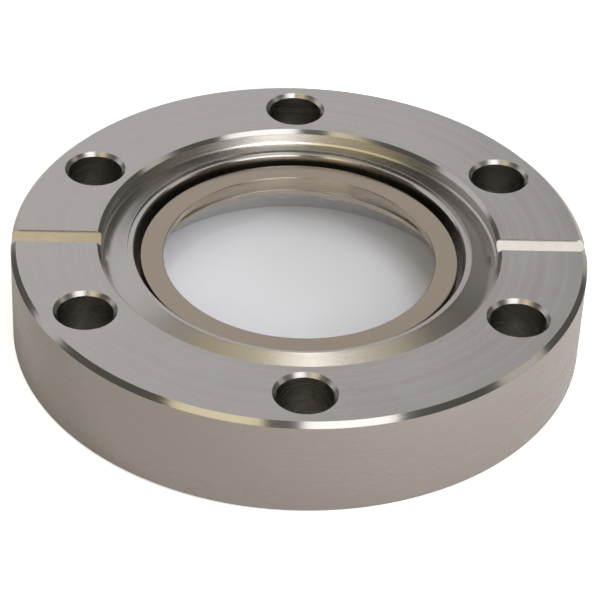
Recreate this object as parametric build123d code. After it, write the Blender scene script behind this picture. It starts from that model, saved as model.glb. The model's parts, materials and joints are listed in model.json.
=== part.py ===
from build123d import *
from math import radians, tan
import os

# Knife-edge vacuum flange of nominal bore 40, with a glass window sealed in its middle.
# Millimetres.  The origin is the centre of the flat back face, and +Z runs out through
# the sealing face.  The two leak-check grooves lie along X.

# ---- heights ----
thickness = 13.0
knife_depth = 0.8
knife_inner_drop = 0.3
groove_depth = 1.0
flare_height = 4.0
web_thickness = 1.6

# ---- glass window ----
glass_thickness = 5.0
glass_meniscus = 0.5

# ---- drawn metal sleeve ----
sleeve_diameter = 38.8
sleeve_wall = 0.65
lip_depth = 2.1
lip_thickness = 0.85
lip_width = 2.8
lip_bend_radius = 0.15
lip_edge_chamfer = 0.06

# ---- rings of the sealing face, from the sleeve outwards, each as wide as it is named ----
well_gap = 0.75
land_width = 0.75
knife_inner_slope = 0.05
knife_tip_flat = 0.06
flank_width = 3.14
flank_angle = 20.0
recess_to_bolt_hole = 1.85
bolt_hole_diameter = 6.7
bolt_hole_to_rim = 2.3

# ---- flare behind the window ----
flare_width = 2.6

# ---- bolt holes and leak-check grooves ----
bolt_count = 6
first_bolt_angle = 30.0
groove_width = 2.4

# ---- broken edges ----
front_rim_chamfer = 0.6
back_rim_chamfer = 0.35
bolt_hole_chamfer = 0.45
recess_mouth_chamfer = 0.45
recess_corner_chamfer = 0.25
well_mouth_chamfer = 0.15

# ---- worked out from the sizes above ----
sleeve_radius = sleeve_diameter / 2
sleeve_bore_radius = sleeve_radius - sleeve_wall
lip_opening_radius = sleeve_radius - lip_width
well_radius = sleeve_radius + well_gap
land_radius = well_radius + land_width
knife_radius = land_radius + knife_inner_slope
flank_radius = knife_radius + knife_tip_flat
recess_radius = flank_radius + flank_width
bolt_hole_radius = bolt_hole_diameter / 2
bolt_circle_radius = recess_radius + recess_to_bolt_hole + bolt_hole_radius
outer_radius = bolt_circle_radius + bolt_hole_radius + bolt_hole_to_rim

flank_slope = tan(radians(flank_angle))
knife_top = thickness - knife_depth
recess_floor = knife_top - flank_width * flank_slope
land_level = knife_top - knife_inner_drop
lip_top = thickness - lip_depth
lip_underside = lip_top - lip_thickness
glass_back = lip_underside - glass_thickness
web_top = flare_height + web_thickness


def turned(section):
    """Return the solid that a section in the XZ plane makes when it is turned about Z."""
    return revolve(section, axis=Axis.Z)


def bolt_hole():
    """Return the cutter of one bolt hole, with its chamfer at each face."""
    mouth = bolt_hole_radius + bolt_hole_chamfer
    outline = Polyline(
        (0, 0),
        (mouth, 0),
        (bolt_hole_radius, bolt_hole_chamfer),
        (bolt_hole_radius, thickness - bolt_hole_chamfer),
        (mouth, thickness),
        (0, thickness),
        close=True,
    )
    return turned(Plane.XZ * make_face(outline))


def leak_grooves():
    """Return the cutter of both flat grooves, from the rim in to the gasket recess."""
    depth = 2 * groove_depth
    bar = Box(3 * outer_radius, groove_width, depth)
    core = Cylinder(recess_radius, depth)
    return Pos(0, 0, thickness) * (bar - core)


def make_flange_body():
    """Turn the blank with its recess, knife edge, well and flare, then drill and mill it."""
    outline = Polyline(
        (sleeve_radius + flare_width, 0),
        (outer_radius - back_rim_chamfer, 0),
        (outer_radius, back_rim_chamfer),
        (outer_radius, thickness - front_rim_chamfer),
        (outer_radius - front_rim_chamfer, thickness),
        (recess_radius + recess_mouth_chamfer, thickness),
        (recess_radius, thickness - recess_mouth_chamfer),
        (recess_radius, recess_floor + recess_corner_chamfer),
        (recess_radius - recess_corner_chamfer, recess_floor + recess_corner_chamfer * flank_slope),
        (flank_radius, knife_top),
        (knife_radius, knife_top),
        (land_radius, land_level),
        (well_radius + well_mouth_chamfer, land_level),
        (well_radius, land_level - well_mouth_chamfer),
        (well_radius, web_top),
        (sleeve_radius, web_top),
        (sleeve_radius, flare_height),
        close=True,
    )
    body = turned(Plane.XZ * make_face(outline))
    holes = PolarLocations(bolt_circle_radius, bolt_count, first_bolt_angle)
    body -= [place * bolt_hole() for place in holes]
    return body - leak_grooves()


def make_seal_sleeve():
    """Draw the thin cup that stands in the web and turns inward over the glass."""
    outline = Polyline(
        (sleeve_bore_radius, flare_height),
        (sleeve_radius, flare_height),
        (sleeve_radius, lip_top),
        (lip_opening_radius, lip_top),
        (lip_opening_radius, lip_underside),
        (sleeve_bore_radius, lip_underside),
        close=True,
    )
    section = make_face(outline)
    outer_bend = section.vertices().sort_by_distance((sleeve_radius, lip_top))[0]
    section = fillet(outer_bend, lip_bend_radius)
    lip_edge = section.vertices().sort_by_distance((lip_opening_radius, lip_top))[0]
    section = chamfer(lip_edge, lip_edge_chamfer)
    return turned(Plane.XZ * section)


def make_window_disc():
    """Mould the glass disc, which lies under the lip and creeps down the sleeve at its rim."""
    outline = Polyline(
        (0, glass_back),
        (sleeve_bore_radius - glass_meniscus, glass_back),
        (sleeve_bore_radius - glass_meniscus / 3, glass_back - glass_meniscus / 3),
        (sleeve_bore_radius, glass_back - glass_meniscus),
        (sleeve_bore_radius, lip_underside),
        (0, lip_underside),
        close=True,
    )
    return turned(Plane.XZ * make_face(outline))


nodes = {
    "flange_body": make_flange_body(),
    "seal_sleeve": make_seal_sleeve(),
    "window_disc": make_window_disc(),
}

os.makedirs("parts", exist_ok=True)
for name, solid in nodes.items():
    export_step(solid, f"parts/{name}.step")
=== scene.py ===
import json
import math

import bpy
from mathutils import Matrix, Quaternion, Vector


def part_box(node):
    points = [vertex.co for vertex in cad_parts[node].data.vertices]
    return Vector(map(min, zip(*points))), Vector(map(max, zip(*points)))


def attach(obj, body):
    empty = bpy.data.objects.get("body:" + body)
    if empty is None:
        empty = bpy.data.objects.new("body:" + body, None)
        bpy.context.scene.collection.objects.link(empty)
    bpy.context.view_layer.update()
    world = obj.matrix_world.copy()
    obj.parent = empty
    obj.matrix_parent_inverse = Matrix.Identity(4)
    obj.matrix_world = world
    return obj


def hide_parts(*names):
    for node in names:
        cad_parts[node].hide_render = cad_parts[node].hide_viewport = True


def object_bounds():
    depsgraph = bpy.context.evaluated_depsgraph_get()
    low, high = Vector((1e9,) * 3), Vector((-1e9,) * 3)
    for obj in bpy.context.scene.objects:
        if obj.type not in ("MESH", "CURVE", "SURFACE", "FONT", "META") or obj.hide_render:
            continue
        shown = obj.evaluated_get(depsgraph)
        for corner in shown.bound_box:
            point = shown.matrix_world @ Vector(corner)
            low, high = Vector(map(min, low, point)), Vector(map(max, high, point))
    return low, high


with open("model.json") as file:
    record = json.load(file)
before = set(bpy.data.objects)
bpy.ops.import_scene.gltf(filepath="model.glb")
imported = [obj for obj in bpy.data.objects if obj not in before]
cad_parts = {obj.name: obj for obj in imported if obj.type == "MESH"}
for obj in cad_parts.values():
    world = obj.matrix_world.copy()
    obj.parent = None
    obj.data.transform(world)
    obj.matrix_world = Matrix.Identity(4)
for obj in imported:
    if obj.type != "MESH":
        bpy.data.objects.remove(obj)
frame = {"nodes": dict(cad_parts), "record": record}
cad_low, cad_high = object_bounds()


# ---------------------------------------------------------------------------
# The view: a long lens looks down at the sealing face from in front, with the
# camera a little tilted on its axis.

camera_place = Vector((-0.012756, -0.261352, 0.201272))
camera_aim = Vector((0.000614, 0.005237, 0.0))
camera_tilt = math.radians(2.752)
lens_length = 159.05
nearest_seen = 0.01

scene = bpy.context.scene
scene.view_settings.view_transform = "Standard"

level_view = (camera_place - camera_aim).to_track_quat("Z", "Y")
tilted_view = level_view @ Quaternion((0, 0, 1), camera_tilt)
bpy.ops.object.camera_add(location=camera_place, rotation=tilted_view.to_euler())
camera = bpy.context.object
camera.name = "front_camera"
camera.data.lens = lens_length
camera.data.clip_start = nearest_seen
scene.camera = camera


# ---------------------------------------------------------------------------
# The bench: a pale, matt top in a dim room.  It glows to the camera alone, so it
# looks clean and white round the flange.  Under the flange it doesn't glow, so
# the part that shows through the window keeps its soft shadows.

bench_size = 6.0
bench_drop = 0.00005
bench_colour = (0.8, 0.8, 0.8, 1.0)
bench_roughness = 0.8
bench_glow = 0.7
glow_colour = (1.0, 1.0, 1.0, 1.0)
glow_start = 0.033
glow_full = 0.034
room_colour = (0.12, 0.115, 0.105, 1.0)

bpy.ops.mesh.primitive_plane_add(size=bench_size, location=(0, 0, -bench_drop))
bench = bpy.context.object
bench.name = "bench_top"
bench_paint = bpy.data.materials.new("bench_paint")
bench_paint.use_nodes = True
bench_tree = bench_paint.node_tree
bench_shader = bench_tree.nodes["Principled BSDF"]
bench_shader.inputs["Base Color"].default_value = bench_colour
bench_shader.inputs["Roughness"].default_value = bench_roughness
bench_shader.inputs["Emission Color"].default_value = glow_colour

bench_place = bench_tree.nodes.new("ShaderNodeNewGeometry")
bench_reach = bench_tree.nodes.new("ShaderNodeVectorMath")
bench_reach.operation = "LENGTH"
bench_ramp = bench_tree.nodes.new("ShaderNodeMapRange")
bench_ramp.inputs["From Min"].default_value = glow_start
bench_ramp.inputs["From Max"].default_value = glow_full
bench_ramp.inputs["To Max"].default_value = bench_glow
bench_seen = bench_tree.nodes.new("ShaderNodeLightPath")
bench_strength = bench_tree.nodes.new("ShaderNodeMath")
bench_strength.operation = "MULTIPLY"
bench_tree.links.new(bench_place.outputs["Position"], bench_reach.inputs[0])
bench_tree.links.new(bench_reach.outputs["Value"], bench_ramp.inputs["Value"])
bench_tree.links.new(bench_ramp.outputs["Result"], bench_strength.inputs[0])
bench_tree.links.new(bench_seen.outputs["Is Camera Ray"], bench_strength.inputs[1])
bench_tree.links.new(bench_strength.outputs[0], bench_shader.inputs["Emission Strength"])
bench.data.materials.append(bench_paint)

room = bpy.data.worlds.new("dim_room")
room.use_nodes = True
room.node_tree.nodes["Background"].inputs["Color"].default_value = room_colour
scene.world = room


# ---------------------------------------------------------------------------
# The lamps: flat panels hang one metre up, and cards stand round the bench.  What
# each bright edge of the flange reflects sets where a panel starts and ends.  The
# last two lamps light the bench and don't show in the metals.

ceiling_height = 1.0
card_distance = 1.2
white_light = (1.0, 0.99, 0.97)
cream_light = (1.0, 0.87, 0.6)
gold_light = (1.0, 0.84, 0.48)
bench_fill_place = Vector((0.11, -0.09, 0.05))
bench_fill_size = 0.04


def add_lamp(name, place, turn, width, depth, radiance, colour):
    """Add a rectangular area lamp of an even brightness."""
    bpy.ops.object.light_add(type="AREA", location=place, rotation=turn)
    lamp = bpy.context.object
    lamp.name = name
    lamp.data.shape = "RECTANGLE"
    lamp.data.size = width
    lamp.data.size_y = depth
    lamp.data.energy = radiance * math.pi * width * depth
    lamp.data.color = colour
    return lamp


def hang_panel(name, x_limits, y_limits, radiance, colour):
    """Hang a lamp flat under the ceiling; x runs to the right and negative y toward the camera."""
    centre = ((x_limits[0] + x_limits[1]) / 2, (y_limits[0] + y_limits[1]) / 2, ceiling_height)
    width, depth = x_limits[1] - x_limits[0], y_limits[1] - y_limits[0]
    return add_lamp(name, centre, (0, 0, 0), width, depth, radiance, colour)


def stand_card(name, azimuth, height, width, tall, radiance, colour):
    """Stand a lit card that faces the flange; azimuth starts in front and 90 is right, all in degrees."""
    turn, lift = math.radians(azimuth), math.radians(height)
    toward = Vector((math.cos(lift) * math.sin(turn), -math.cos(lift) * math.cos(turn), math.sin(lift)))
    wide = 2 * card_distance * math.tan(math.radians(width / 2))
    high = 2 * card_distance * math.tan(math.radians(tall / 2))
    facing = toward.to_track_quat("Z", "Y").to_euler()
    return add_lamp(name, toward * card_distance, facing, wide, high, radiance, colour)


hang_panel("white_low_panel", (0.03, 0.8), (-1.5, -1.0), 2.8, white_light)
hang_panel("white_front_panel", (0.03, 0.68), (-1.0, -0.45), 1.65, white_light)
hang_panel("white_top_panel", (0.03, 0.3), (-0.42, 0.02), 5.4, white_light)
hang_panel("white_back_panel", (0.01, 0.11), (0.05, 0.3), 3.2, white_light)
hang_panel("cream_low_panel", (-0.95, -0.04), (-1.5, -1.1), 1.8, cream_light)
hang_panel("cream_panel", (-0.87, -0.22), (-1.1, -0.53), 1.0, cream_light)
hang_panel("gold_top_panel", (-0.5, 0.0), (-0.45, 0.1), 0.95, gold_light)
hang_panel("gold_back_panel", (-0.4, 0.0), (0.1, 0.42), 0.42, gold_light)
hang_panel("olive_back_panel", (0.12, 0.5), (0.1, 0.5), 0.5, cream_light)
stand_card("side_card", 92, 30, 18, 20, 0.55, (1.0, 0.95, 0.85))
stand_card("back_card", 215.5, 37, 79, 34, 0.6, (0.99, 0.965, 1.0))
stand_card("right_card", 148, 26, 24, 24, 0.15, (1.0, 0.94, 0.92))

bench_key = stand_card("bench_key", 118, 34, 16, 16, 4.0, (0.98, 0.98, 1.0))
bench_fill_turn = bench_fill_place.to_track_quat("Z", "Y").to_euler()
bench_fill = add_lamp(
    "bench_fill", bench_fill_place, bench_fill_turn, bench_fill_size, bench_fill_size, 24.0, (1.0, 0.98, 0.97)
)
bench_key.visible_glossy = False
bench_fill.visible_glossy = False


# ---------------------------------------------------------------------------
# The turned finish, shared by both metals: the tool leaves fine rings round the
# axis, the tone and the gloss vary slowly, and the 45 degree edges are polished.

ring_climb = 1.37
height_detail = 2.0
tone_scale = 900.0
tone_detail = 3.0
cloud_scale = 90.0
cloud_detail = 4.0
cloud_share = 0.5
glossy_blend = 0.3
dull_blend = 0.7
edge_normal_z = 0.707
edge_slack = 0.08
countersink_reach = 0.0045

bolt_mount = next(mount for mount in frame["record"]["mounts"] if mount["name"] == "bolt_circle")
bolt_circle_radius = bolt_mount["dims"]["pcd_mm"] / 2000


def new_group(name, inputs, outputs):
    """Start a node group with float sockets, and return it with its output node."""
    group = bpy.data.node_groups.new(name, "ShaderNodeTree")
    for way, socket_names in (("INPUT", inputs), ("OUTPUT", outputs)):
        for socket_name in socket_names:
            group.interface.new_socket(name=socket_name, in_out=way, socket_type="NodeSocketFloat")
    return group, group.nodes.new("NodeGroupOutput")


def math_node(tree, operation, first, second=None, third=None):
    """Add one Math node; numbers are set and sockets are linked."""
    node = tree.nodes.new("ShaderNodeMath")
    node.operation = operation
    for slot, value in zip(node.inputs, (first, second, third)):
        if value is None:
            continue
        if isinstance(value, (int, float)):
            slot.default_value = value
        else:
            tree.links.new(value, slot)
    return node.outputs[0]


def object_place(tree):
    """Give the place in the object's own metres: its X, Y and Z, and its distance from the Z axis."""
    place = tree.nodes.new("ShaderNodeTexCoord").outputs["Object"]
    split = tree.nodes.new("ShaderNodeSeparateXYZ")
    tree.links.new(place, split.inputs[0])
    flat = tree.nodes.new("ShaderNodeVectorMath")
    flat.operation = "MULTIPLY"
    flat.inputs[1].default_value = (1, 1, 0)
    tree.links.new(place, flat.inputs[0])
    reach = tree.nodes.new("ShaderNodeVectorMath")
    reach.operation = "LENGTH"
    tree.links.new(flat.outputs["Vector"], reach.inputs[0])
    return split.outputs, reach.outputs["Value"]


def ring_noise(tree, count, detail):
    """Add a noise that varies along one number."""
    noise = tree.nodes.new("ShaderNodeTexNoise")
    noise.noise_dimensions = "1D"
    noise.inputs["Scale"].default_value = 1.0
    noise.inputs["Detail"].default_value = detail
    tree.links.new(count, noise.inputs["W"])
    return noise.outputs["Fac"]


def build_turned_rings():
    """Build the group for tool rings: a fine height and a slow tone, both round the Z axis."""
    group, leave = new_group("turned_rings", ["Pitch"], ["Height", "Tone"])
    entry = group.nodes.new("NodeGroupInput")
    parts, radius = object_place(group)
    path = math_node(group, "MULTIPLY_ADD", parts["Z"], ring_climb, radius)
    fine_count = math_node(group, "DIVIDE", path, entry.outputs["Pitch"])
    slow_count = math_node(group, "MULTIPLY", path, tone_scale)
    group.links.new(ring_noise(group, fine_count, height_detail), leave.inputs["Height"])
    group.links.new(ring_noise(group, slow_count, tone_detail), leave.inputs["Tone"])
    return group


def build_broken_edges():
    """Build the group that marks the turned 45 degree edges, and leaves out the countersinks."""
    group, leave = new_group("broken_edges", [], ["Mask"])
    facing = group.nodes.new("ShaderNodeNewGeometry")
    split = group.nodes.new("ShaderNodeSeparateXYZ")
    group.links.new(facing.outputs["True Normal"], split.inputs[0])
    steepness = math_node(group, "ABSOLUTE", split.outputs["Z"])
    slope = math_node(group, "ABSOLUTE", math_node(group, "SUBTRACT", steepness, edge_normal_z))
    sloped = math_node(group, "LESS_THAN", slope, edge_slack)
    radius = object_place(group)[1]
    off_circle = math_node(group, "ABSOLUTE", math_node(group, "SUBTRACT", radius, bolt_circle_radius))
    turned = math_node(group, "GREATER_THAN", off_circle, countersink_reach)
    group.links.new(math_node(group, "MULTIPLY", sloped, turned), leave.inputs["Mask"])
    return group


turned_rings = build_turned_rings()
broken_edges = build_broken_edges()


def blend_where(tree, mask_group, socket, value):
    """Change a linked socket to one value wherever the group's mask is on."""
    source = socket.links[0].from_socket
    mask = tree.nodes.new("ShaderNodeGroup")
    mask.node_tree = mask_group
    mix = tree.nodes.new("ShaderNodeMix")
    if isinstance(value, tuple):
        mix.data_type = "RGBA"
    mix.inputs["B"].default_value = value
    tree.links.new(mask.outputs["Mask"], mix.inputs["Factor"])
    tree.links.new(source, mix.inputs["A"])
    tree.links.new(mix.outputs["Result"], socket)


def turned_metal(name, light, dark, roughness, edge, pitch, depth):
    """Make a bare metal with tool rings, polished edges, and a cloudy variation of tone and gloss."""
    metal = bpy.data.materials.new(name)
    metal.use_nodes = True
    tree = metal.node_tree
    shader = tree.nodes["Principled BSDF"]
    shader.inputs["Metallic"].default_value = 1.0

    rings = tree.nodes.new("ShaderNodeGroup")
    rings.node_tree = turned_rings
    rings.inputs["Pitch"].default_value = pitch
    place = tree.nodes.new("ShaderNodeTexCoord")
    cloud = tree.nodes.new("ShaderNodeTexNoise")
    cloud.inputs["Scale"].default_value = cloud_scale
    cloud.inputs["Detail"].default_value = cloud_detail
    tree.links.new(place.outputs["Object"], cloud.inputs["Vector"])
    part_cloud = math_node(tree, "MULTIPLY", cloud.outputs["Fac"], cloud_share)
    blend = math_node(tree, "MULTIPLY_ADD", rings.outputs["Tone"], 1 - cloud_share, part_cloud)

    colour = tree.nodes.new("ShaderNodeMix")
    colour.data_type = "RGBA"
    colour.inputs["A"].default_value = dark
    colour.inputs["B"].default_value = light
    tree.links.new(blend, colour.inputs["Factor"])
    tree.links.new(colour.outputs["Result"], shader.inputs["Base Color"])

    gloss = tree.nodes.new("ShaderNodeMapRange")
    gloss.inputs["From Min"].default_value = glossy_blend
    gloss.inputs["From Max"].default_value = dull_blend
    gloss.inputs["To Min"].default_value = roughness[0]
    gloss.inputs["To Max"].default_value = roughness[1]
    tree.links.new(blend, gloss.inputs["Value"])
    tree.links.new(gloss.outputs["Result"], shader.inputs["Roughness"])
    blend_where(tree, broken_edges, shader.inputs["Roughness"], edge)

    bump = tree.nodes.new("ShaderNodeBump")
    bump.name = "ring_bump"
    bump.inputs["Distance"].default_value = depth
    tree.links.new(rings.outputs["Height"], bump.inputs["Height"])
    tree.links.new(bump.outputs["Normal"], shader.inputs["Normal"])
    return metal


# ---------------------------------------------------------------------------
# The flange body is one ring of stainless steel, turned all over from bar.  Its
# bolt holes are drilled and countersunk, and its two leak-check grooves are milled
# smooth.  The rim's upright wall is painted a darker colour: painted shade in place
# of the shaded bench that it reflects.

steel_colour = (0.62, 0.605, 0.585, 1.0)
steel_dark = (0.53, 0.515, 0.495, 1.0)
steel_roughness = (0.2, 0.32)
edge_roughness = 0.13
ring_pitch = 0.00011
ring_depth = 0.000002
# Painted shade: the rim's upright wall gets this darker colour in place of the shaded bench it reflects.
wall_painted_shade = (0.43, 0.395, 0.375, 1.0)
wall_margin = 0.00003
groove_half_width = 0.00125
groove_inner_end = 0.0242
groove_reach_down = 0.0012
groove_margin = 0.00004


def build_milled_grooves():
    """Build the group that marks the walls and floors of the two leak-check grooves."""
    group, leave = new_group("milled_grooves", [], ["Mask"])
    parts = object_place(group)[0]
    near_line = math_node(group, "LESS_THAN", math_node(group, "ABSOLUTE", parts["Y"]), groove_half_width)
    past_recess = math_node(group, "GREATER_THAN", math_node(group, "ABSOLUTE", parts["X"]), groove_inner_end)
    under_face = math_node(group, "LESS_THAN", parts["Z"], cad_high.z - groove_margin)
    over_floor = math_node(group, "GREATER_THAN", parts["Z"], cad_high.z - groove_reach_down)
    flat_part = math_node(group, "MULTIPLY", near_line, past_recess)
    deep_part = math_node(group, "MULTIPLY", under_face, over_floor)
    group.links.new(math_node(group, "MULTIPLY", flat_part, deep_part), leave.inputs["Mask"])
    return group


def build_outer_wall():
    """Build the group that marks the rim's upright wall."""
    group, leave = new_group("outer_wall", [], ["Mask"])
    radius = object_place(group)[1]
    group.links.new(math_node(group, "GREATER_THAN", radius, cad_high.x - wall_margin), leave.inputs["Mask"])
    return group


milled_grooves = build_milled_grooves()
outer_wall = build_outer_wall()

flange_steel = turned_metal(
    "flange_steel", steel_colour, steel_dark, steel_roughness, edge_roughness, ring_pitch, ring_depth
)
steel_tree = flange_steel.node_tree
steel_shader = steel_tree.nodes["Principled BSDF"]
# Painted shade: the rim's upright wall is darkened in colour for the shaded bench it reflects.
blend_where(steel_tree, outer_wall, steel_shader.inputs["Base Color"], wall_painted_shade)
blend_where(steel_tree, milled_grooves, steel_shader.inputs["Roughness"], edge_roughness)
blend_where(steel_tree, milled_grooves, steel_tree.nodes["ring_bump"].inputs["Height"], 0.0)

flange_body = frame["nodes"]["flange_body"]
flange_body.data.materials.clear()
flange_body.data.materials.append(flange_steel)


# ---------------------------------------------------------------------------
# The seal sleeve is drawn from thin nickel-iron sheet, is brazed into the web of
# the flange, and turns inward over the glass.  Its finish is smooth and satin.

sleeve_colour = (0.47, 0.41, 0.33, 1.0)
sleeve_dark = (0.38, 0.325, 0.255, 1.0)
sleeve_roughness = (0.15, 0.24)
sleeve_edge_roughness = 0.2
sleeve_ring_pitch = 0.0002
sleeve_ring_depth = 0.000002

sleeve_metal = turned_metal(
    "sleeve_metal", sleeve_colour, sleeve_dark, sleeve_roughness, sleeve_edge_roughness,
    sleeve_ring_pitch, sleeve_ring_depth,
)
seal_sleeve = frame["nodes"]["seal_sleeve"]
seal_sleeve.data.materials.clear()
seal_sleeve.data.materials.append(sleeve_metal)


# ---------------------------------------------------------------------------
# The window is a clear glass disc, fused under the lip and to the inside of the
# sleeve, so it reaches a hair into both metals.  Both its faces are polished,
# and at the back its rim creeps down the sleeve in a small hollow.

glass_colour = (0.945, 0.96, 1.0, 1.0)
glass_roughness = 0.02
glass_bend = 1.48
shadow_tint = (0.9, 0.91, 0.95, 1.0)
fused_depth = 0.00004
glass_sides = 256
creep_width = 0.0005
creep_steps = ((0.35, 0.62), (0.65, 0.38))
downward = -0.9
smooth_angle = math.radians(12)

glass_low, glass_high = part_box("window_disc")
glass_radius = (glass_high.x - glass_low.x) / 2 + fused_depth
glass_back = glass_low.z + creep_width
glass_thick = glass_high.z + fused_depth - glass_back

bpy.ops.object.select_all(action="DESELECT")
bpy.ops.mesh.primitive_cylinder_add(
    vertices=glass_sides, radius=glass_radius, depth=glass_thick, location=(0, 0, glass_back + glass_thick / 2)
)
window_pane = bpy.context.object
window_pane.name = "window_pane"
bpy.ops.object.transform_apply(location=True, rotation=False, scale=False)
bpy.ops.object.mode_set(mode="EDIT")
bpy.ops.mesh.select_mode(type="FACE")
bpy.ops.mesh.select_all(action="DESELECT")
bpy.ops.object.mode_set(mode="OBJECT")
for face in window_pane.data.polygons:
    face.select = face.normal.z < downward
bpy.ops.object.mode_set(mode="EDIT")
bpy.ops.transform.translate(value=(0, 0, -creep_width))
for share_in, share_down in creep_steps:
    bpy.ops.mesh.inset(thickness=creep_width * share_in, depth=-creep_width * share_down)
bpy.ops.object.mode_set(mode="OBJECT")
bpy.ops.object.shade_smooth_by_angle(angle=smooth_angle)

# The bench is lit straight through the pane, with no bending of the lamps' light.
window_glass = bpy.data.materials.new("window_glass")
window_glass.use_nodes = True
glass_tree = window_glass.node_tree
glass_shader = glass_tree.nodes["Principled BSDF"]
glass_shader.inputs["Base Color"].default_value = glass_colour
glass_shader.inputs["Roughness"].default_value = glass_roughness
glass_shader.inputs["IOR"].default_value = glass_bend
glass_shader.inputs["Transmission Weight"].default_value = 1.0
light_path = glass_tree.nodes.new("ShaderNodeLightPath")
clear = glass_tree.nodes.new("ShaderNodeBsdfTransparent")
clear.inputs["Color"].default_value = shadow_tint
glass_mix = glass_tree.nodes.new("ShaderNodeMixShader")
glass_tree.links.new(light_path.outputs["Is Shadow Ray"], glass_mix.inputs[0])
glass_tree.links.new(glass_shader.outputs["BSDF"], glass_mix.inputs[1])
glass_tree.links.new(clear.outputs["BSDF"], glass_mix.inputs[2])
glass_tree.links.new(glass_mix.outputs["Shader"], glass_tree.nodes["Material Output"].inputs["Surface"])

window_pane.data.materials.append(window_glass)
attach(window_pane, "root")
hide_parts("window_disc")
